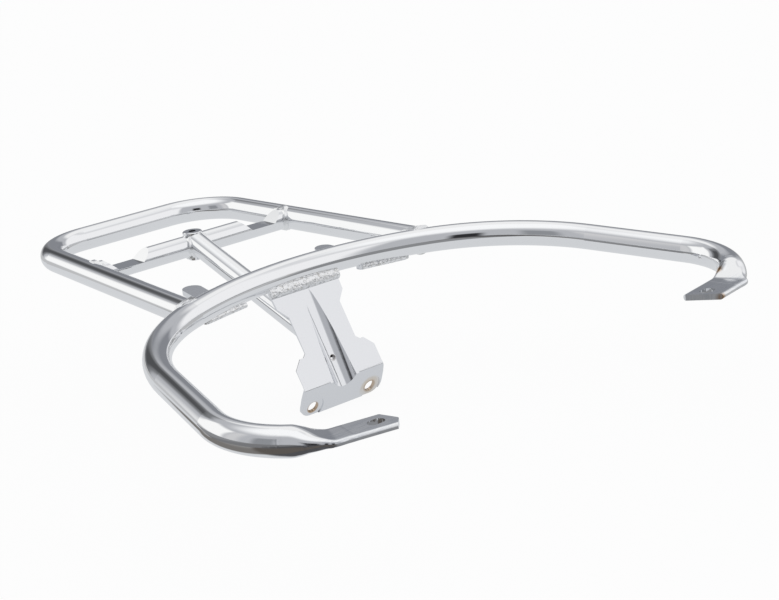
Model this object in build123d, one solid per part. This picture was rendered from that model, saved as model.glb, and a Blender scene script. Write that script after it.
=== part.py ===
"""Motorcycle luggage rack with grab bar: welded and plated steel tube.

Frame: origin midway between the two slotted tabs, on the face they are bolted down by.
+X to the rider's right in the picture, +Y rearward, +Z up. Lengths in mm.
"""
from build123d import *
from math import atan, atan2, cos, degrees, hypot, radians, sin, sqrt, tan
import os

os.makedirs("parts", exist_ok=True)

# driving sizes
# tube stock
bar_d = 22.2            # grab bar and carrier loop, outside diameter
bar_wall = 2.3          # grab bar wall
loop_wall = 2.0         # carrier loop wall
small_d = 20.0          # cross tube and brace, outside diameter
small_wall = 1.8

# grab bar, drawn in its own plane that falls toward the front
bar_rear_y = 313.0      # centre of the tube at the rear
bar_rear_z = 16.0
bar_pitch = 2.37        # degrees the plane falls
bar_arc_r = 301.8       # wide rear arc
bar_arc_half = 24.2     # degrees each side of the middle
bar_corner_r = 167.0    # corner between the rear arc and the arm
bar_corner_turn = 51.75
bar_front_r = 66.4      # bend into the tab
tab_heading = 11.6      # degrees the tab runs forward as it goes inward

# flattened and slotted tabs
tab_x = 166.3           # slot centre, each side
tab_width = 26.0
tab_thick = 2 * bar_wall + 0.2
tab_reach_right = 9.4   # slot centre to the middle of the sawn end
tab_reach_left = 13.6
tab_cut_right = 26.4    # skew of the sawn end, degrees
tab_cut_left = 27.2
tab_nose_right = 2.0    # corner taken off the longer side of the end
tab_nose_left = 9.4
tab_shift_right = 1.2   # middle of the tab ahead of the slot
tab_shift_left = 0.0
tab_root = 36.5         # slot centre to where the tube starts to rise
tab_root_skew = 15.0
tab_ramp = 30.0         # length over which the tube goes from flat to round
slot_w = 9.0
slot_len = 13.5
vent_y = 62.0
vent_d = 4.0

# carrier loop, level
loop_back_y = 593.6
loop_z = 15.3
loop_half_w = 99.2      # at the corner of the centre lines
loop_bend_r = 53.3
loop_splay = 4.4        # degrees each side opens toward the front

# cross tube and threaded boss
cross_y = 471.8
cross_z = 15.4
dent_start = 50.0       # top of the pressed hollow, from the middle
dent_floor_a = 60.0
dent_floor_b = 86.0
dent_end = 96.5
dent_depth = 9.8
boss_d = 13.0
boss_collar_d = 18.0
boss_collar_h = 3.0
boss_below = 3.5
thread_minor_d = 6.75   # M8

# bracket plate, drawn in its own leaning plane
sheet = 2.6
bend_y = 259.2          # front edge of the fold
bend_z = -71.1
plate_lean = 30.1       # degrees from upright, top to the rear
flange_lean = 23.1      # degrees from upright, foot to the rear
plate_top = 93.0
fold_r = 2.2
half_bend = 42.0
half_shoulder = 34.0
half_notch = 28.8
half_neck = 27.0
half_head = 35.0
flange_len = 28.6
flange_half = 43.2
flange_corner_r = 11.0
flange_hole_x = 30.6
flange_hole_s = 20.3
flange_hole_d = 10.0
seat_d = 21.5
seat_sink = 0.8
groove_r = 15.3
groove_depth = 6.2      # at the fold
groove_run = 86.0       # up the plate to where it dies out
drain_s = 21.0
drain_d = 5.0

# brace tube
brace_slope = 18.93     # degrees, falling to the front
brace_z_at_cross = 19.6

# ears
ear_thick = 4.5
ear_gap = 4.0           # between the ear's outer corner and the loop
ear_root_in = 10.2      # front edge, inward of the tip's middle
ear_root_out = 35.8     # front edge, outward of it
ear_len = 53.7          # tip's middle behind the rear of the bar
ear_drop = 6.3          # top at the tip below the bar's centre
ear_rise = 3.4          # degrees, rising rearward
ear_arm_w = 17.5
ear_arm_y = 4.0         # where the arm leaves the root, behind the rear of the bar
ear_slant = 0.13
ear_side = 7.6          # depth of the root's outer side

# weld beads
bead = 2.6
bead_small = 2.2

bar_r = bar_d / 2
small_r = small_d / 2
region = loop_back_y / 2    # blocks this size cut away one side of a face


# tube runs
def line_run(r, a, b):
    """Round bar from a to b."""
    d = Vector(*b) - Vector(*a)
    return Solid.make_cylinder(r, d.length, Plane(a, z_dir=d))


def arc_run(r, start, tangent, centre, normal, angle):
    """Round bar bent about the axis through centre along normal."""
    disc = Plane(start, z_dir=tangent) * Circle(r)
    return revolve(disc, Axis(centre, normal), revolution_arc=angle).solid()


def biggest(shape):
    """The piece that is kept after a cope; the offcuts go."""
    return max(shape.solids(), key=lambda s: s.volume)


# grab bar
bar_plane = Plane(
    (0, bar_rear_y, bar_rear_z),
    x_dir=(1, 0, 0),
    z_dir=(0, -sin(radians(bar_pitch)), cos(radians(bar_pitch))),
)


def bar_point(x, y):
    return bar_plane.from_local_coords(Vector(x, y, 0))


def bar_dir(x, y):
    return bar_point(x, y) - bar_point(0, 0)


def bar_stations():
    """Corner stations of the right half in the bar's plane."""
    a = radians(bar_arc_half)
    h = radians(bar_arc_half + bar_corner_turn)
    p1 = (bar_arc_r * sin(a), -bar_arc_r * (1 - cos(a)))
    c1 = (p1[0] - bar_corner_r * sin(a), p1[1] - bar_corner_r * cos(a))
    p2 = (c1[0] + bar_corner_r * sin(h), c1[1] + bar_corner_r * cos(h))
    t = radians(tab_heading)
    slot_v = -bar_rear_y / cos(radians(bar_pitch))
    # where the arm's line meets the tab's line
    run = ((p2[1] - slot_v) - (p2[0] - tab_x) * tan(t)) / (sin(h) + cos(h) * tan(t))
    v = (p2[0] + run * cos(h), p2[1] - run * sin(h))
    turn = 180 - degrees(h) - tab_heading
    back = bar_front_r * tan(radians(turn / 2))
    p3 = (v[0] - back * cos(h), v[1] + back * sin(h))
    p4 = (v[0] - back * cos(t), v[1] - back * sin(t))
    c2 = (p3[0] - bar_front_r * sin(h), p3[1] - bar_front_r * cos(h))
    p5 = (tab_x - 60 * cos(t), slot_v - 60 * sin(t))
    return p1, c1, p2, p3, c2, p4, p5, h, t, turn


def bar_end_back():
    """Arc length from where the tube starts to flatten to the end of its front bend."""
    p4 = bar_stations()[5]
    slot_v = -bar_rear_y / cos(radians(bar_pitch))
    return tab_root + tab_ramp - hypot(p4[0] - tab_x, p4[1] - slot_v)


def bar_run(r):
    """The bent bar as a round run of radius r, up to where each end is pressed."""
    p1, c1, p2, p3, c2, p4, p5, h, t, turn = bar_stations()
    a = radians(bar_arc_half)
    n = bar_plane.z_dir
    round_turn = turn - degrees(bar_end_back() / bar_front_r)
    pieces = []
    start = bar_point(-p1[0], p1[1])
    pieces.append(
        arc_run(r, start, bar_dir(cos(a), sin(a)), bar_point(0, -bar_arc_r), n * -1, 2 * bar_arc_half)
    )
    for s in (1, -1):
        pieces.append(
            arc_run(
                r,
                bar_point(s * p1[0], p1[1]),
                bar_dir(s * cos(a), -sin(a)),
                bar_point(s * c1[0], c1[1]),
                n * -s,
                bar_corner_turn,
            )
        )
        pieces.append(line_run(r, bar_point(s * p2[0], p2[1]), bar_point(s * p3[0], p3[1])))
        pieces.append(
            arc_run(
                r,
                bar_point(s * p3[0], p3[1]),
                bar_dir(s * cos(h), -sin(h)),
                bar_point(s * c2[0], c2[1]),
                n * -s,
                round_turn,
            )
        )
    return pieces[0].fuse(*pieces[1:])


def tab_frame(side):
    """Plane at the slot centre: x inward along the tab, z up, on the seat face."""
    t = radians(tab_heading)
    return Plane((side * tab_x, 0, 0), x_dir=(-side * cos(t), -sin(t), 0), z_dir=(0, 0, 1))


def pressed_section(side, along, flat, half, skin):
    """Section of the pressed end, along a share of the ramp: 0 flat is round, 1 is folded."""
    p1, c1, p2, p3, c2, p4, p5, h, t, turn = bar_stations()
    q = (bar_end_back() - tab_ramp * (1 - along)) / bar_front_r
    arm = (p4[0] - c2[0], p4[1] - c2[1])
    at = (c2[0] + arm[0] * cos(q) - arm[1] * sin(q), c2[1] + arm[0] * sin(q) + arm[1] * cos(q))
    way = bar_dir(-side * cos(t + q), -sin(t + q))
    way = way.rotate(Axis.Z, side * tab_root_skew * flat)
    centre = bar_point(side * at[0], at[1])
    tall = bar_r + flat * (tab_thick / 2 - 0.1 - bar_r)
    lift = flat * (tab_thick / 2 - centre.Z)
    plane = Plane(centre, x_dir=bar_plane.z_dir.cross(way), z_dir=way)
    return plane * Pos(0, lift, 0) * Ellipse(half - skin, tall - skin)


def pressed_end(side, skin):
    """The tube going from round to flat, as a loft; skin is taken off for the bore."""
    wide = tab_width / 2
    sections = [
        pressed_section(side, 1.0, 0.0, bar_r, skin),
        pressed_section(side, 0.85, 0.0, bar_r, skin),
        pressed_section(side, 0.55, 0.17, bar_r + 0.4 * (wide - bar_r), skin),
        pressed_section(side, 0.2, 0.72, wide - 0.3, skin),
    ]
    if skin == 0:
        sections.append(pressed_section(side, -0.2, 1.0, wide - 1.0, 0))
    return loft(sections).solid()


def tab_slab(side, reach, cut, nose, shift):
    """The pressed-flat end: two walls folded together, sides full round, end sawn off."""
    f = tab_frame(side)
    f = Plane(f.from_local_coords(Vector(0, side * shift, 0)), x_dir=f.x_dir)
    half = tab_width / 2 + shift
    start = -tab_root - 0.25 * tab_ramp
    section = Plane(f.from_local_coords(Vector(start, 0, tab_thick / 2)), x_dir=f.y_dir, z_dir=f.x_dir)
    slab = extrude(section * SlotOverall(2 * half, tab_thick), 2 * tab_root)
    apex_y = nose - half
    apex_x = reach - apex_y * tan(radians(cut))
    pts = [
        (start - 1, -half + 0.5 * tab_width / 2),
        (-tab_root + 2, -half - 1),
        (apex_x - 0.61 * (nose + 1), -half - 1),
        (apex_x, apex_y),
        (reach - (half + 1) * tan(radians(cut)), half + 1),
        (-tab_root + 2, half + 1),
        (start - 1, half - 0.5 * tab_width / 2),
    ]
    plan = make_face(Polyline(*pts, close=True))
    plan = fillet(plan.vertices().filter_by(lambda v: v.X > 0), 2.5)
    return (slab & extrude(f * plan, 20, both=True)).solid()


bar_filled = bar_run(bar_r)
bar_hollow = bar_run(bar_r - bar_wall)
for side in (1, -1):
    bar_filled = bar_filled + pressed_end(side, 0)
    bar_hollow = bar_hollow + pressed_end(side, bar_wall)
bar_filled = bar_filled + tab_slab(1, tab_reach_right, tab_cut_right, tab_nose_right, tab_shift_right)
bar_filled = bar_filled + tab_slab(-1, tab_reach_left, tab_cut_left, tab_nose_left, tab_shift_left)
bar_filled = biggest(bar_filled)

grab_bar = bar_filled - biggest(bar_hollow)
for side in (1, -1):
    f = tab_frame(side)
    hole = Plane(f.origin, x_dir=(1, 0, 0)) * SlotOverall(slot_len, slot_w)
    grab_bar = grab_bar - extrude(hole, 40, both=True)
arm = bar_stations()
vent_v = (vent_y - bar_rear_y) / cos(radians(bar_pitch))
vent_at = bar_point(arm[3][0] + bar_wall / 2, vent_v)
grab_bar = grab_bar - Solid.make_cylinder(vent_d / 2, 2 * bar_r, Plane(vent_at, z_dir=(-1, 0, 0)))
grab_bar = biggest(grab_bar)


# carrier loop
def bar_y_at(x):
    """Height along y of the grab bar's rear arc and corner at this x."""
    a = radians(bar_arc_half)
    edge = bar_arc_r * sin(a)
    if x <= edge:
        v = -bar_arc_r + sqrt(bar_arc_r**2 - x * x)
    else:
        cx = edge - bar_corner_r * sin(a)
        cy = -bar_arc_r * (1 - cos(a)) - bar_corner_r * cos(a)
        v = cy + sqrt(bar_corner_r**2 - (x - cx) ** 2)
    return bar_rear_y + v * cos(radians(bar_pitch))


def loop_x_at(y):
    return loop_half_w + (loop_back_y - y) * tan(radians(loop_splay))


def loop_run(r, stop):
    """The loop as a round run; each side stops this far behind the grab bar's centre."""
    q = radians(loop_splay)
    back = loop_bend_r * tan(radians((90 - loop_splay) / 2))
    turn = 90 - loop_splay
    foot_y = bar_y_at(loop_x_at(bar_rear_y)) + stop
    pieces = [line_run(r, (back - loop_half_w, loop_back_y, loop_z), (loop_half_w - back, loop_back_y, loop_z))]
    for s in (1, -1):
        start = (s * (loop_half_w - back), loop_back_y, loop_z)
        centre = (s * (loop_half_w - back), loop_back_y - loop_bend_r, loop_z)
        pieces.append(arc_run(r, start, (s, 0, 0), centre, (0, 0, -s), turn))
        side_top = (s * (loop_half_w + back * sin(q)), loop_back_y - back * cos(q), loop_z)
        side_foot = (s * loop_x_at(foot_y), foot_y, loop_z)
        pieces.append(line_run(r, side_top, side_foot))
    return pieces[0].fuse(*pieces[1:])


loop_filled = loop_run(bar_r, 3.0)
carrier_loop = biggest(loop_filled - loop_run(bar_r - loop_wall, 2.0) - bar_filled)
loop_filled = biggest(loop_filled - bar_filled)


# cross tube
def dent(side, skin):
    """Pressed hollow in the top of the cross tube, near the loop."""
    top = cross_z + small_r + 6
    floor = cross_z + small_r - dent_depth - skin
    slope = (dent_floor_a - dent_start) / dent_depth
    rise = (dent_end - dent_floor_b) / dent_depth
    lift = top - floor
    pts = [
        (side * (dent_floor_a - skin * 0.4), floor),
        (side * (dent_floor_b + skin * 0.4), floor),
        (side * (dent_floor_b + skin * 0.4 + rise * lift), top),
        (side * (dent_floor_a - skin * 0.4 - slope * lift), top),
    ]
    face = Plane((0, cross_y, 0), x_dir=(1, 0, 0), z_dir=(0, -1, 0)) * make_face(Polyline(*pts, close=True))
    return extrude(face, 2 * small_r, both=True).solid()


cross_half = loop_x_at(cross_y) - 2.0
cross_ends = ((-cross_half, cross_y, cross_z), (cross_half, cross_y, cross_z))
cross_round = line_run(small_r, *cross_ends)
cross_filled = cross_round - dent(1, 0) - dent(-1, 0)
cross_bore = line_run(small_r - small_wall, *cross_ends) - dent(1, small_wall) - dent(-1, small_wall)

boss_bottom = cross_z - small_r - boss_below
boss_collar_z = cross_z + small_r
boss_top = boss_collar_z + boss_collar_h
boss_body = Solid.make_cylinder(boss_d / 2, boss_collar_z - boss_bottom, Plane((0, cross_y, boss_bottom)))
boss_collar = Solid.make_cylinder(boss_collar_d / 2, boss_collar_h, Plane((0, cross_y, boss_collar_z)))
boss_filled = boss_body + boss_collar

cross_tube = biggest(cross_filled - cross_bore - loop_filled - boss_body)

# threaded boss
rim = boss_filled.edges().filter_by(GeomType.CIRCLE).group_by(Axis.Z)[-1]
threaded_boss = chamfer(rim, 0.6)
threaded_boss = threaded_boss - Solid.make_cylinder(
    thread_minor_d / 2, boss_top - boss_bottom + 2, Plane((0, cross_y, boss_bottom - 1))
)
threaded_boss = threaded_boss.solid()

# bracket plate
lean = radians(plate_lean)
kick = radians(flange_lean)
plate_plane = Plane((0, bend_y, bend_z), x_dir=(1, 0, 0), z_dir=(0, -cos(lean), sin(lean)))
flange_plane = Plane((0, bend_y, bend_z), x_dir=(1, 0, 0), z_dir=(0, -cos(kick), -sin(kick)))


def plate_point(x, s, n):
    return plate_plane.from_local_coords(Vector(x, s, n))


def flange_point(x, s, n):
    return flange_plane.from_local_coords(Vector(x, -s, n))


def sheet_section():
    """Folded strip seen from the side, as a face in the YZ plane."""
    half_fold = radians((plate_lean + flange_lean) / 2)
    run = sheet * tan(half_fold)
    pts = [
        plate_point(0, plate_top, 0),
        plate_point(0, 0, 0),
        flange_point(0, flange_len, 0),
        flange_point(0, flange_len, -sheet),
        flange_point(0, -run, -sheet),
        plate_point(0, plate_top, -sheet),
    ]
    return make_face(Polyline(*pts, close=True))


strip = extrude(sheet_section(), 1.3 * half_bend, dir=(1, 0, 0), both=True).solid()
fold = strip.edges().filter_by(Axis.X)
outer = [e for e in fold if abs((e @ 0.5 - Vector(0, bend_y, bend_z)).length) < 0.01]
strip = strip.fillet(fold_r + sheet, outer)

groove_tilt = atan(groove_depth / groove_run)
past = groove_run / 2
axis_a = plate_point(0, groove_run + past, past * tan(groove_tilt) + groove_r / cos(groove_tilt))
axis_b = plate_point(0, -past, -groove_depth - past * tan(groove_tilt) + groove_r / cos(groove_tilt))
behind_plate = plate_plane * Pos(0, 0, -region / 2) * Box(region, 2 * region, region)
behind_flange = flange_plane * Pos(0, 0, -region / 2) * Box(region, 2 * region, region)
groove = line_run(groove_r, axis_a, axis_b)
bulge = line_run(groove_r + sheet, axis_a, axis_b) & behind_plate & behind_flange

seats_back = [
    Plane(flange_point(s * flange_hole_x, flange_hole_s, -sheet / 2), z_dir=flange_plane.z_dir * -1)
    for s in (1, -1)
]
blank = strip + bulge
for p in seats_back:
    blank = blank + Solid.make_cylinder(seat_d / 2 + 0.9, sheet / 2 + seat_sink, p)

plate_outline = [
    (-half_bend, -3),
    (half_bend, -3),
    (half_bend, 19.5),
    (half_shoulder, 28.0),
    (half_notch + 1.6, 28.0),
    (half_neck, 31.0),
    (half_neck, 64.2),
    (half_head, 73.7),
    (half_head + 1, plate_top + 1),
]
plate_outline = plate_outline + [(-x, y) for x, y in reversed(plate_outline[1:])]
plate_outline = plate_outline[:-1]
plate_plan = make_face(Polyline(*plate_outline, close=True))
plate_prism = extrude(plate_plane * plate_plan, 22, both=True)
flange_plan = make_face(
    Polyline(
        (-half_bend, 3),
        (-flange_half, -8),
        (-flange_half, -flange_len),
        (flange_half, -flange_len),
        (flange_half, -8),
        (half_bend, 3),
        close=True,
    )
)
flange_plan = fillet(flange_plan.vertices().group_by(Axis.Y)[0], flange_corner_r)
flange_prism = extrude(flange_plane * flange_plan, 22, both=True)
blank = blank & (plate_prism + flange_prism)

bracket = blank - groove
for s in (1, -1):
    face_at = flange_point(s * flange_hole_x, flange_hole_s, -seat_sink)
    bracket = bracket - Solid.make_cylinder(seat_d / 2, 10, Plane(face_at, z_dir=flange_plane.z_dir))
    deep = flange_point(s * flange_hole_x, flange_hole_s, -20)
    bracket = bracket - Solid.make_cylinder(flange_hole_d / 2, 40, Plane(deep, z_dir=flange_plane.z_dir))
drain = Plane(plate_point(0, drain_s, -30), z_dir=plate_plane.z_dir)
bracket = bracket - Solid.make_cylinder(drain_d / 2, 60, drain)
bracket_plate = biggest(bracket - bar_filled)

# brace tube
slope = radians(brace_slope)


def brace_point(y):
    return (0, y, brace_z_at_cross + (y - cross_y) * tan(slope))


brace_low = bend_y - 30
brace_high = cross_y - 2.5
brace_round = line_run(small_r, brace_point(brace_low), brace_point(brace_high))
brace_bore = line_run(small_r - small_wall, brace_point(brace_low - 5), brace_point(brace_high + 5))
behind_sheet = plate_plane * Pos(0, 0, region / 2 - sheet) * Box(region, 2 * region, region)
groove_back = line_run(groove_r + sheet, axis_a, axis_b)
brace_filled = biggest(brace_round - behind_sheet - groove_back - cross_round - boss_filled)
brace_tube = biggest(brace_filled - brace_bore)

# ears
ear_tilt = radians(ear_rise)
ear_out_x = loop_x_at(bar_rear_y) - bar_r - ear_gap + 1.5
ear_tip_x = ear_out_x - ear_root_out
ear_tip_y = bar_rear_y + ear_len
ear_top_z = bar_rear_z - ear_drop
ear_in_x = ear_tip_x - ear_root_in
ear_in_y = bar_y_at(ear_in_x) - 0.45 * bar_r
ear_out_y = bar_y_at(ear_out_x) - 0.1 * bar_r


def ear_plate(side):
    """Flat hook plate under the grab bar, its rounded end pointing rearward."""
    top = Plane(
        (side * ear_tip_x, ear_tip_y, ear_top_z),
        x_dir=(side, 0, 0),
        z_dir=(0, -sin(ear_tilt) * side, cos(ear_tilt) * side),
    )
    half = ear_arm_w / 2
    arm_y = bar_rear_y + ear_arm_y
    arm_x = ear_tip_x + ear_slant * (ear_tip_y - arm_y)

    def at(x, y):
        return (x - ear_tip_x, y - ear_tip_y)

    pts = [
        at(ear_in_x, ear_in_y),
        at(ear_out_x, ear_out_y),
        at(ear_out_x + 0.13 * ear_side, ear_out_y + ear_side),
        at(arm_x + half, arm_y),
        at(ear_tip_x + half, ear_tip_y),
        at(ear_tip_x - half, ear_tip_y),
        at(arm_x - half, arm_y),
        at(ear_in_x - 0.08 * ear_side, ear_in_y + 0.7 * ear_side),
    ]
    plan = make_face(Polyline(*pts, close=True))
    corners = plan.vertices().filter_by(lambda v: v.Y < -0.75 * ear_len)
    plan = fillet(corners, ear_arm_w / 6) + Circle(half)
    solid = extrude(top * plan, -ear_thick * side)
    return biggest(solid - bar_filled)


ear_right = ear_plate(1)
ear_left = ear_plate(-1)


# weld beads
bar_fat = bar_run(bar_r + bead)


def loop_bead(side):
    """Bead round the end of one loop side, on the grab bar."""
    foot_y = bar_y_at(loop_x_at(bar_rear_y)) + 2.2
    far_y = foot_y + 40
    a = (side * loop_x_at(far_y), far_y, loop_z)
    b = (side * loop_x_at(foot_y), foot_y, loop_z)
    ring = line_run(bar_r + bead, a, b) & bar_fat
    ear = ear_right if side > 0 else ear_left
    return biggest(ring - bar_filled - line_run(bar_r, a, b) - ear)


def cross_bead(side):
    """Bead round one end of the cross tube, on the loop."""
    fat = line_run(small_r + bead_small, (side * 40, cross_y, cross_z), (side * cross_half, cross_y, cross_z))
    y0 = cross_y - 60
    y1 = cross_y + 60
    wall = line_run(
        bar_r + bead_small,
        (side * loop_x_at(y0), y0, loop_z),
        (side * loop_x_at(y1), y1, loop_z),
    )
    core = line_run(small_r, (side * 30, cross_y, cross_z), (side * cross_half, cross_y, cross_z))
    return biggest((fat & wall) - core - loop_filled)


bead_loop_right = loop_bead(1)
bead_loop_left = loop_bead(-1)
bead_cross_right = cross_bead(1)
bead_cross_left = cross_bead(-1)

# boss to cross tube, above and below
boss_fat = Solid.make_cylinder(boss_d / 2 + 2.4, 60, Plane((0, cross_y, cross_z - 30)))
tube_fat = line_run(small_r + 2.0, (-40, cross_y, cross_z), (40, cross_y, cross_z))
boss_ring = (boss_fat & tube_fat) - cross_round - boss_filled - brace_round
under = Pos(0, cross_y, cross_z - 50) * Box(60, 60, 100)
bead_boss_bottom = biggest(boss_ring & under)
bead_boss_top = biggest(boss_ring - under)

# brace to cross tube and boss
brace_fat = line_run(small_r + bead_small, brace_point(cross_y - 60), brace_point(brace_high - 1.5))
collar = line_run(small_r + bead_small, (-40, cross_y, cross_z), (40, cross_y, cross_z))
bead_brace_top = (brace_fat & collar) - brace_round - cross_round - boss_filled - bead_boss_top
bead_brace_top = biggest(bead_brace_top - bead_boss_bottom)

# brace to the back of the bracket
foot_fat = line_run(small_r + bead_small, brace_point(brace_low), brace_point(cross_y - 100))
foot_skin = plate_plane * Pos(0, 45, -sheet - bead_small / 2 - 1) * Box(52, 80, bead_small + 2)
foot_skin = foot_skin + line_run(groove_r + sheet + bead_small, axis_a, axis_b)
bead_brace_foot = (foot_fat & foot_skin) - brace_round - behind_sheet - groove_back
bead_brace_foot = biggest(bead_brace_foot)

# bracket to grab bar: one long bead across the front of the plate
bead_line_s = plate_top - 4.4
bead_half = half_head + bead / 2
bead_rope = line_run(2.1 * bead, plate_point(-bead_half, bead_line_s, -1.0), plate_point(bead_half, bead_line_s, -1.0))
bead_bracket = bead_rope - bar_filled - bracket_plate
behind_face = plate_plane * Pos(0, 0, -region / 2) * Box(2 * half_head + bead, 2 * region, region)
bead_bracket = biggest(bead_bracket - behind_face)


def ear_bead(side):
    """Bead in the corner between the ear's front edge and the bar's underside."""
    z = ear_top_z - (ear_tip_y - ear_in_y) * tan(ear_tilt) - 0.35 * ear_thick
    a = (side * (ear_in_x + 0.5 * bead), ear_in_y - 0.25 * bead, z)
    b = (side * (ear_out_x - 0.3 * bead), ear_out_y - 0.1 * bead, z)
    rope = line_run(bead, a, b)
    ear = ear_right if side > 0 else ear_left
    return biggest(rope - bar_filled - ear)


bead_ear_right = ear_bead(1)
bead_ear_left = ear_bead(-1)

# write the pieces
nodes = {
    "grab_bar": grab_bar,
    "carrier_loop": carrier_loop,
    "cross_tube": cross_tube,
    "threaded_boss": threaded_boss,
    "brace_tube": brace_tube,
    "bracket_plate": bracket_plate,
    "ear_left": ear_left,
    "ear_right": ear_right,
    "bead_bracket": bead_bracket,
    "bead_ear_left": bead_ear_left,
    "bead_ear_right": bead_ear_right,
    "bead_loop_left": bead_loop_left,
    "bead_loop_right": bead_loop_right,
    "bead_cross_left": bead_cross_left,
    "bead_cross_right": bead_cross_right,
    "bead_boss_top": bead_boss_top,
    "bead_boss_bottom": bead_boss_bottom,
    "bead_brace_top": bead_brace_top,
    "bead_brace_foot": bead_brace_foot,
}
for name, shape in nodes.items():
    export_step(shape, f"parts/{name}.step")
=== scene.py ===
import bmesh
import bpy
from math import cos, degrees, radians, sin
from mathutils import Euler, Matrix, Vector


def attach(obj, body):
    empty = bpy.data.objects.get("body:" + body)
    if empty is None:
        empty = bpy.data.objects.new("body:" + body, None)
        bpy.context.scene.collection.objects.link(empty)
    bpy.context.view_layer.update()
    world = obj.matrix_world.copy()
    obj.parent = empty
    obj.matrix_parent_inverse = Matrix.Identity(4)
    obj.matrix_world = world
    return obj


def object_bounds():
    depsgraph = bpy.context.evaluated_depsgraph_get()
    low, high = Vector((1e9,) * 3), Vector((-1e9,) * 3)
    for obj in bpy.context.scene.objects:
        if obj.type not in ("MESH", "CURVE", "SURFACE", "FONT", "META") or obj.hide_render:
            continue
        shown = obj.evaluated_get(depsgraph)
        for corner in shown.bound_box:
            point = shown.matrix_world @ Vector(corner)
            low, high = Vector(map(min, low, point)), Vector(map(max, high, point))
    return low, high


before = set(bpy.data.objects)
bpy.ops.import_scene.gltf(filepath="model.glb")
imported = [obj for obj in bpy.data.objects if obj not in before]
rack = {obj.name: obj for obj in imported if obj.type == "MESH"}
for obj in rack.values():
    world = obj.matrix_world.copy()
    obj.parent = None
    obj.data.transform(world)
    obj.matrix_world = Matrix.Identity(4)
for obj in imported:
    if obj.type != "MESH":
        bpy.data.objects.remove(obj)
cad_box = [list(corner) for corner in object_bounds()]


# Grab bar: one steel tube bent round the tail of the motorcycle, its two ends pressed
# flat and slotted for the frame screws. Polished, nickelled and bright chromed.
class Wire:
    """One output of a shader tree. Sums and products of wires add Math nodes."""

    def __init__(self, tree, socket=None):
        self.tree = tree
        self.socket = socket

    def add(self, kind, settings=None, inputs=None, output=0):
        """A node of any kind: its settings first, then the values or wires of its sockets."""
        node = self.tree.nodes.new(kind)
        for name, value in (settings or {}).items():
            setattr(node, name, value)
        for name, value in (inputs or {}).items():
            if isinstance(value, Wire):
                self.tree.links.new(value.socket, node.inputs[name])
            else:
                node.inputs[name].default_value = value
        return Wire(self.tree, node.outputs[output] if node.outputs else None)

    def math(self, operation, *others):
        return self.add("ShaderNodeMath", {"operation": operation}, dict(enumerate((self, *others))))

    def __add__(self, other):
        return self.math("ADD", other)

    def __sub__(self, other):
        return self.math("SUBTRACT", other)

    def __rsub__(self, other):
        return self.add("ShaderNodeMath", {"operation": "SUBTRACT"}, {0: other, 1: self})

    def __mul__(self, other):
        return self.math("MULTIPLY", other)

    __radd__ = __add__
    __rmul__ = __mul__

    def ramp(self, low, high):
        """0 below low, 1 above high, smooth between."""
        return self.add(
            "ShaderNodeMapRange",
            {"interpolation_type": "SMOOTHSTEP"},
            {"Value": self, "From Min": low, "From Max": high},
        )

    def within(self, low, high, soft):
        """1 between low and high, falling to 0 over soft at each side."""
        half = soft / 2
        return self.ramp(low - half, low + half) * (1.0 - self.ramp(high - half, high + half))

    def mix(self, plain, other):
        """Colour plain where this wire is 0 and other where it is 1."""
        inputs = {0: self}
        for key, colour in ((6, plain), (7, other)):
            inputs[key] = colour if isinstance(colour, Wire) else (*colour, 1)
        return self.add("ShaderNodeMix", {"data_type": "RGBA"}, inputs, output=2)

    def parts(self):
        """The x, y and z of a vector wire."""
        split = self.add("ShaderNodeSeparateXYZ", None, {0: self}).socket.node
        return [Wire(self.tree, one) for one in split.outputs]

    def vector(self, operation, other):
        return self.add("ShaderNodeVectorMath", {"operation": operation}, {0: self, 1: other})

    def near(self, point, inner, outer):
        """1 within inner metres of point, 0 beyond outer."""
        away = self.vector("SUBTRACT", point)
        gap = away.add("ShaderNodeVectorMath", {"operation": "LENGTH"}, {0: away}, output="Value")
        return 1.0 - gap.ramp(inner, outer)

    def noise(self, scale, detail):
        """Clouds from 0 to 1, scale of them to the metre."""
        return self.add("ShaderNodeTexNoise", None, {"Vector": self, "Scale": scale, "Detail": detail})


def finish_of(name):
    """A new material, and the wire of a point's place on the object, in metres."""
    made = bpy.data.materials.new(name)
    made.use_nodes = True
    made.node_tree.nodes.clear()
    return made, Wire(made.node_tree).add("ShaderNodeTexCoord", output="Object")


def plate_over(made, base, roughness, height, strength, depth):
    """Closes a plated finish, whose small waves are depth metres deep."""
    bump = height.add("ShaderNodeBump", None, {"Height": height, "Strength": strength, "Distance": depth})
    surface = height.add(
        "ShaderNodeBsdfPrincipled",
        None,
        {"Base Color": base, "Metallic": 1.0, "Roughness": roughness, "Normal": bump},
    )
    surface.add("ShaderNodeOutputMaterial", None, {"Surface": surface})
    return made


def wear(nodes, made):
    for name in nodes:
        mesh = rack[name].data
        mesh.materials.clear()
        mesh.materials.append(made)


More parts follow.
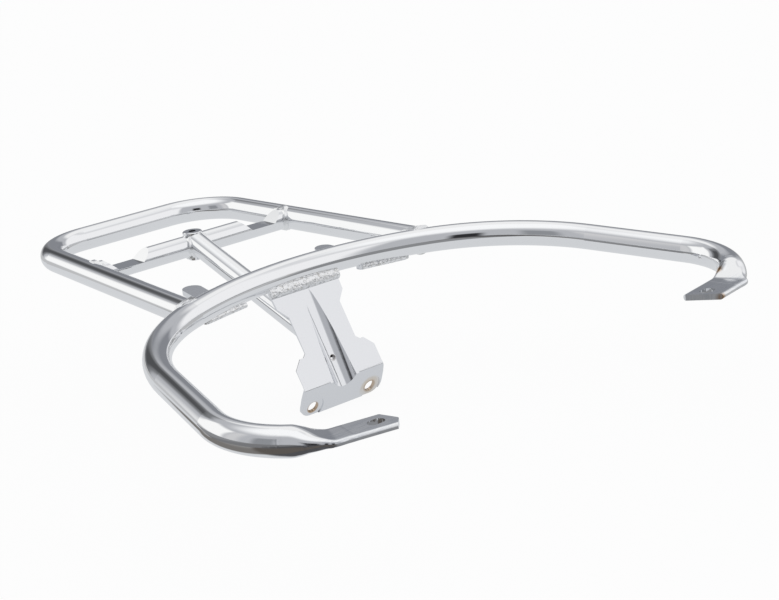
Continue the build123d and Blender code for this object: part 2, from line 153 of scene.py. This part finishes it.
def bright_chrome():
    """Rust in one bend, a burnt corner, and the fine streaks of the press on the flat tabs."""
    clean, rust, streaked = (0.88, 0.885, 0.895), (0.42, 0.24, 0.10), (0.66, 0.69, 0.74)
    inner_bend, tab_corner = (0.2045, 0.0235, 0.0085), (0.1655, -0.0150, 0.0015)
    bend_spot, corner_spot = (0.002, 0.007), (0.002, 0.006)
    tab_back, tab_top = (0.004, 0.012), (0.0052, 0.0075)
    streaks_per_metre = (90.0, 700.0, 90.0)
    rust_share, streak_share = 1.9, 0.55
    plain_rough, tab_rougher = 0.045, 0.07

    made, place = finish_of("bright_chrome")
    cloud = place.noise(scale=60.0, detail=3.0)
    stain = place.near(inner_bend, *bend_spot) + place.near(tab_corner, *corner_spot)
    brown = (stain * (cloud * rust_share)).math("MINIMUM", 1.0)
    along, up = place.parts()[1:]
    tab = (1.0 - along.ramp(*tab_back)) * (1.0 - up.ramp(*tab_top))
    streak = place.vector("MULTIPLY", streaks_per_metre).noise(scale=1.0, detail=2.0)
    base = (tab * streak.ramp(0.3, 0.75) * streak_share).mix(brown.mix(clean, rust), streaked)
    height = cloud * 0.02 + tab * streak * 0.5
    roughness = tab * tab_rougher + plain_rough
    return plate_over(made, base, roughness, height, strength=0.05, depth=0.001)


chrome = bright_chrome()
wear(["grab_bar"], chrome)

# Pressed ends: where a press folded the round tube flat for the frame screws, the metal
# runs out over a soft ramp and bulges at its edges. A thin skin of the same chromed tube
# carries that flowing form.

# Millimetres. Back is the way along the tube from the front of its last bend, reach is
# taken from the tube's middle line, and height from the underside of the flat tab.
slot_x, front_bend, bend_end = 166.3, 66.4, 22.8
tube_rear, tube_front = 11.2, 11.02
tube_high, tube_climb, tube_wide = 13.66, 0.036, 22.2
tab_high, tab_flare = 4.85, 0.5
swell_rear, swell_front = 1.35, 1.55
shoulder, shoulder_left_over, right_shoulder_more = 1.65, 0.32, 2.4
sunk_at_end, sunk_at_start, lower_under = 0.12, 0.06, 0.04
skin_start, skin_end, skin_step = 60.0, -4.0, 1.25
# how far back each change begins and ends
end_run, flare_run, left_over_run = (-4, 0), (0, 9), (2, 11)
top_run, bottom_run, squaring_run = (9, 37), (9.5, 38.5), (12.5, 35)
shoulder_run, right_shoulder_run = (11, 17), (12, 21)
swell_run, start_run = (18, 44), (48, 60)
tab_turn = radians(11.6)
quarter_points = 12
mm = 1e-3


def ease(run, back):
    """0 before the run begins, 1 past its end, smooth between."""
    share = min(max((back - run[0]) / (run[1] - run[0]), 0.0), 1.0)
    return share * share * (3 - 2 * share)


def press_size(back, side):
    """Rear and front reach, top, bottom and squareness of one section."""
    sunk = sunk_at_end * (1 - ease(end_run, back)) + sunk_at_start * ease(start_run, back)
    round_top = tube_high + tube_climb * back
    top = tab_high + (round_top - tab_high) * ease(top_run, back) - sunk
    bottom = (round_top - tube_wide) * ease(bottom_run, back) - lower_under + sunk
    swollen = 1 - ease(swell_run, back)
    rear = tube_rear + swell_rear * swollen + tab_flare * (1 - ease(flare_run, back)) - sunk
    front = tube_front + swell_front * swollen - sunk
    left_over = shoulder_left_over + (1 - shoulder_left_over) * ease(left_over_run, back)
    front += shoulder * (1 - ease(shoulder_run, back)) * left_over
    if side > 0:
        front += right_shoulder_more * (1 - ease(right_shoulder_run, back))
    return rear, front, top, bottom, 1 - ease(squaring_run, back)


def press_ring(half, tall, square):
    """Points round one section, from an ellipse to a flat with full round sides."""
    flat = max(half - tall, 0.0)
    ring = []
    for quarter in range(4):
        way = (1, -1)[quarter // 2]
        for i in range(quarter_points):
            share = i / quarter_points
            angle = radians(90 * (quarter - 0.5 + share))
            oval = (half * cos(angle), tall * sin(angle))
            if quarter % 2 == 0:
                angle = radians(180 * (share - 0.5))
                slab = (way * (flat + tall * cos(angle)), way * tall * sin(angle))
            else:
                slab = (way * flat * (1 - 2 * share), way * tall)
            ring.append([was + (now - was) * square for was, now in zip(oval, slab)])
    return ring


def chromed(mesh, name):
    """Makes a finished mesh one more bright piece of the rack."""
    bmesh.ops.recalc_face_normals(mesh, faces=mesh.faces)
    data = bpy.data.meshes.new(name)
    mesh.to_mesh(data)
    mesh.free()
    data.materials.append(chrome)
    piece = bpy.data.objects.new(name, data)
    bpy.context.scene.collection.objects.link(piece)
    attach(piece, "root")


def pressed_end(side, name):
    mesh = bmesh.new()
    inward = Vector((-side * cos(tab_turn), -sin(tab_turn), 0))
    outward = Vector((side * sin(tab_turn), -cos(tab_turn), 0))
    rings = []
    for i in range(round((skin_start - skin_end) / skin_step) + 1):
        back = skin_start - i * skin_step
        rear, front, top, bottom, square = press_size(back, side)
        bent = max(back, 0) / front_bend
        reach = -bend_end - front_bend * sin(bent) - min(back, 0)
        middle = Vector((side * slot_x, 0, 0)) + inward * reach - outward * front_bend * (1 - cos(bent))
        across = outward * cos(bent) - inward * sin(bent)
        ring = []
        for out, up in press_ring((rear + front) / 2, (top - bottom) / 2, square):
            at = middle + across * (out + (front - rear) / 2)
            at.z = (top + bottom) / 2 + up
            ring.append(mesh.verts.new(at * mm))
        rings.append(ring)
    for one, two in zip(rings, rings[1:]):
        for i in range(len(one)):
            j = (i + 1) % len(one)
            mesh.faces.new((one[i], one[j], two[j], two[i])).smooth = True
    mesh.faces.new(rings[0])
    mesh.faces.new(rings[-1][::-1])
    chromed(mesh, name)


pressed_end(-1, "pressed_end_left")
pressed_end(1, "pressed_end_right")

# Drain vent: a small hole through the inner side of the right arm, for draining the plating
# baths. The plating has run into it and left only a shallow dimple.
vent_middle = Vector((0.2303, 0.0620, 0.0056))
vent_radius = 2.05 * mm
dimple_depth = 0.5 * mm
film_thick = 0.3 * mm
film_rings = (0.35, 0.7, 1.0)
ring_points = 24


def vent_film():
    mesh = bmesh.new()
    rims = []
    for back in (0, film_thick):
        middle = vent_middle + Vector((back + dimple_depth, 0, 0))
        rings = [[mesh.verts.new(middle)]]
        for share in film_rings:
            ring = []
            for i in range(ring_points):
                angle = radians(360 / ring_points * i)
                out = Vector((0, cos(angle), sin(angle))) * vent_radius * share
                out.x = -dimple_depth * share**2
                ring.append(mesh.verts.new(middle + out))
            rings.append(ring)
        for one, two in zip(rings, rings[1:]):
            for i in range(ring_points):
                j = (i + 1) % ring_points
                inner = (one[0],) if len(one) == 1 else (one[j], one[i])
                mesh.faces.new((*inner, two[i], two[j])).smooth = True
        rims.append(rings[-1])
    for i in range(ring_points):
        j = (i + 1) % ring_points
        mesh.faces.new((rims[0][i], rims[0][j], rims[1][j], rims[1][i]))
    chromed(mesh, "vent_film")


vent_film()

# Carrier loop: the same tube bent to a flat U behind the grab bar, its ends coped to the
# bar. A thinner cross tube with two pressed hollows ties its sides.
wear(["carrier_loop", "cross_tube"], chrome)

# Threaded boss and brace: a turned boss stands through the middle of the cross tube, and
# a straight tube braces it down to the back of the bracket plate.
wear(["threaded_boss", "brace_tube"], chrome)


# Bracket plate: pressed from flat sheet with a tapering groove, folded at its foot, with
# two sunk screw seats. The sheet keeps a little of its rolled grain under the plating.
def satin_chrome():
    """Brown rims and one cream seat where the screws sat, and a dull groove vent."""
    clean, cream, brown = (0.80, 0.81, 0.83), (0.72, 0.64, 0.53), (0.44, 0.29, 0.16)
    right_hole, left_hole = (0.0306, 0.2685, -0.0893), (-0.0306, 0.2695, -0.0893)
    groove_vent = (0.0, 0.2745, -0.0560)
    right_rim, left_rim = (0.0052, 0.0072), (0.0052, 0.0066)
    seat_ring, vent_spot = (0.0075, 0.0125), (0.0026, 0.0036)
    rim_share, vent_share, cream_share = 1.5, 0.2, 0.75
    plain_rough, cloud_rougher, vent_rougher = 0.06, 0.08, 0.4

    made, place = finish_of("satin_chrome")
    grain = place.noise(scale=220.0, detail=4.0)
    cloud = place.noise(scale=35.0, detail=2.0)
    seat = place.near(right_hole, *seat_ring) * cloud.ramp(0.2, 0.5)
    rims = place.near(right_hole, *right_rim) + place.near(left_hole, *left_rim)
    vent = place.near(groove_vent, *vent_spot)
    rusted = (rims * (cloud * rim_share) + vent * vent_share).math("MINIMUM", 1.0)
    base = rusted.mix((seat * cream_share).mix(clean, cream), brown)
    roughness = cloud * cloud_rougher + plain_rough + vent * vent_rougher
    return plate_over(made, base, roughness, grain * 0.5 + cloud, strength=0.08, depth=0.0006)


satin = satin_chrome()
wear(["bracket_plate"], satin)

# Ears: two flat hooks cut from thicker plate and welded under the grab bar, their round
# ends pointing rearward.
wear(["ear_left", "ear_right"], satin)


# Weld beads: laid by hand at every joint before plating. Those of the bracket plate and the
# ears keep their ripples under the chrome. The tube joints were run smoother.
def plated_weld(name, ripple, dirty):
    """Chrome over ripples of the given strength, with dirt left in the hollows."""
    clean, dirt = (0.88, 0.885, 0.89), (0.50, 0.47, 0.41)
    plain_rough, lump_rougher = 0.08, 0.16

    made, place = finish_of(name)
    lumps = place.noise(scale=420.0, detail=3.0)
    pits = place.noise(scale=1100.0, detail=2.0)
    beads = place.add(
        "ShaderNodeTexVoronoi",
        {"feature": "SMOOTH_F1"},
        {"Vector": place, "Scale": 330.0, "Smoothness": 0.6},
    )
    height = lumps * 1.2 - beads * 0.8 + pits * 0.25
    base = (lumps.ramp(0.54, 0.70) * dirty).mix(clean, dirt)
    roughness = lumps * lump_rougher + plain_rough
    return plate_over(made, base, roughness, height, strength=ripple, depth=0.0014)


rough_beads = ["bead_bracket", "bead_ear_left", "bead_ear_right"]
smooth_beads = [name for name in rack if name.startswith("bead_") and name not in rough_beads]
wear(rough_beads, plated_weld("rough_weld", ripple=0.65, dirty=0.5))
wear(smooth_beads, plated_weld("smooth_weld", ripple=0.16, dirty=0.1))


# Floor: pale paper on a grey table, just under the rack's foot. The camera sees it plain
# white with the rack's shadow, and the tubes mirror the paper, its edge and the table,
# which carry painted light, painted shade and painted shadows.
def pale_floor(level):
    floor_size, floor_middle = 30, 0.3
    white, lit_white, white_share = (1.0, 1.0, 1.0), (0.9, 0.9, 0.9, 1), 0.94
    paper_tone, edge_shadow_tone, stand_shadow_tone = (0.70, 0.715, 0.735), (0.085, 0.07, 0.055), (0.05, 0.05, 0.055)
    paper_sides, paper_ends, paper_soft = (-0.46, 0.40), (-0.25, 0.80), 0.03
    edge_fade, far_fade, rear_fade = (-0.285, -0.262), (-0.54, -0.36), (0.20, 0.36)
    stand_shadow_middle, stand_shadow_fade, turn_middle = (-0.50, -0.50, level), (0.10, 0.30), 0.2
    stand_shadow_share, edge_shadow_share = 0.9, 0.86

    bpy.ops.mesh.primitive_plane_add(size=floor_size, location=(0, floor_middle, level))
    floor = bpy.context.object
    floor.name = "studio_floor"
    made, place = finish_of("pale_floor")
    across, along = place.parts()[:2]
    turn = across.math("ARCTAN2", along - turn_middle) * degrees(1)
    table = (0.24, 0.245, 0.255)
    # degrees round from the rear, the width of the soft edge, and the tone of the table there: painted
    # light toward the windows on the right and behind, painted shade toward the front, and the painted
    # shadow of the camera's stand
    for left, right, soft, tone in (
        (76, 150, 12, (0.50, 0.505, 0.51)),
        (-160, -100, 10, (0.17, 0.172, 0.18)),
        (-160, -138, 8, (0.05, 0.05, 0.055)),
        (-40, 14, 12, (0.55, 0.555, 0.56)),
    ):
        table = turn.within(left, right, soft).mix(table, tone)
    # painted shadow of the camera's stand: a dark patch on the table in front of the rack
    table = (place.near(stand_shadow_middle, *stand_shadow_fade) * stand_shadow_share).mix(table, stand_shadow_tone)
    paper = across.within(*paper_sides, paper_soft) * along.within(*paper_ends, paper_soft)
    ground = paper.mix(table, paper_tone)
    # a painted shadow strip just past the paper's left edge, which the left bend mirrors as a brown line
    shadow_past_edge = (1.0 - across.ramp(*edge_fade)) * across.ramp(*far_fade)
    shadow_past_edge = shadow_past_edge * (1.0 - along.ramp(*rear_fade))
    ground = (shadow_past_edge * edge_shadow_share).mix(ground, edge_shadow_tone)
    seen = place.add("ShaderNodeLightPath", output="Is Camera Ray")
    mirrored = place.add("ShaderNodeLightPath", output="Is Glossy Ray")
    lit = place.add("ShaderNodeBsdfDiffuse", None, {"Color": lit_white})
    glow = place.add("ShaderNodeEmission", None, {"Color": mirrored.mix(white, ground), "Strength": 1.0})
    share = (seen + mirrored).math("MINIMUM", 1.0) * white_share
    both = place.add("ShaderNodeMixShader", None, {0: share, 1: lit, 2: glow})
    both.add("ShaderNodeOutputMaterial", None, {"Surface": both})
    floor.data.materials.append(made)


floor_gap = 0.001
pale_floor(cad_box[0][2] - floor_gap)

# Room: soft white light all round, with windows, a dark door and grey walls set round the
# rack for the bright tubes to mirror. The camera itself sees only white.
world = bpy.data.worlds.new("studio")
bpy.context.scene.world = world
world.use_nodes = True
world.node_tree.nodes.clear()
way = Wire(world.node_tree).add("ShaderNodeTexCoord", output="Generated")
side_way, rear_way, up_way = way.parts()
turn = side_way.math("ARCTAN2", rear_way) * degrees(1)
rise = up_way.math("ARCSINE") * degrees(1)
grey_wall, pale_ceiling, ceiling_rise = (0.50, 0.51, 0.535), (1.04, 1.045, 1.05), (46, 68)
room = rise.ramp(*ceiling_rise).mix(grey_wall, pale_ceiling)
# degrees round from the rear, degrees up, the width of the soft edge, and the tone
for left, right, low, high, soft, tone in (
    (-114, -90, -90, 36, 10, (0.29, 0.30, 0.32)),  # dark wall on the left
    (-74, -58, -90, 46, 12, (0.66, 0.66, 0.67)),  # pale strip beside the window
    (-55, -13, 0, 43, 8, (1.05, 1.05, 1.04)),  # window behind on the left
    (20, 78, 36, 75, 10, (0.95, 0.95, 0.95)),  # high window behind on the right
    (78, 164, 0, 52, 14, (0.95, 0.95, 0.96)),  # wide window on the right
    (20, 63, -90, 22, 9, (0.25, 0.26, 0.285)),  # low dark wall behind on the right
    (-5, 21, -3, 38, 7, (0.20, 0.205, 0.215)),  # door behind
    (1, 15, 4, 31, 6, (0.085, 0.087, 0.092)),  # the dark of the open door
    (-158, -138, -90, 27, 8, (0.03, 0.03, 0.033)),  # black card beside the camera
):
    room = (turn.within(left, right, soft) * rise.within(low, high, soft)).mix(room, tone)
room = way.add("ShaderNodeLightPath", output="Is Camera Ray").mix(room, (1.0, 1.0, 1.0))
backdrop = way.add("ShaderNodeBackground", None, {"Color": room, "Strength": 1.0})
backdrop.add("ShaderNodeOutputWorld", None, {"Surface": backdrop})

# Camera: a long lens from the front left, a little above the rack. Its place and its turn
# were worked out from points of the rack that pair up across its middle.
eye = bpy.data.cameras.new("camera")
eye.sensor_width = 36.0
eye.lens = 79.43
eye.clip_start = 0.05
eye.clip_end = 50.0
camera = bpy.data.objects.new("camera", eye)
bpy.context.scene.collection.objects.link(camera)
camera_place = Vector((-0.8030, -0.8538, 0.4149))
camera_turn = Euler([radians(turned) for turned in (72.8182, 5.9349, -39.4916)])
camera.matrix_world = Matrix.LocRotScale(camera_place, camera_turn, None)
bpy.context.scene.camera = camera
bpy.context.scene.view_settings.view_transform = "Standard"
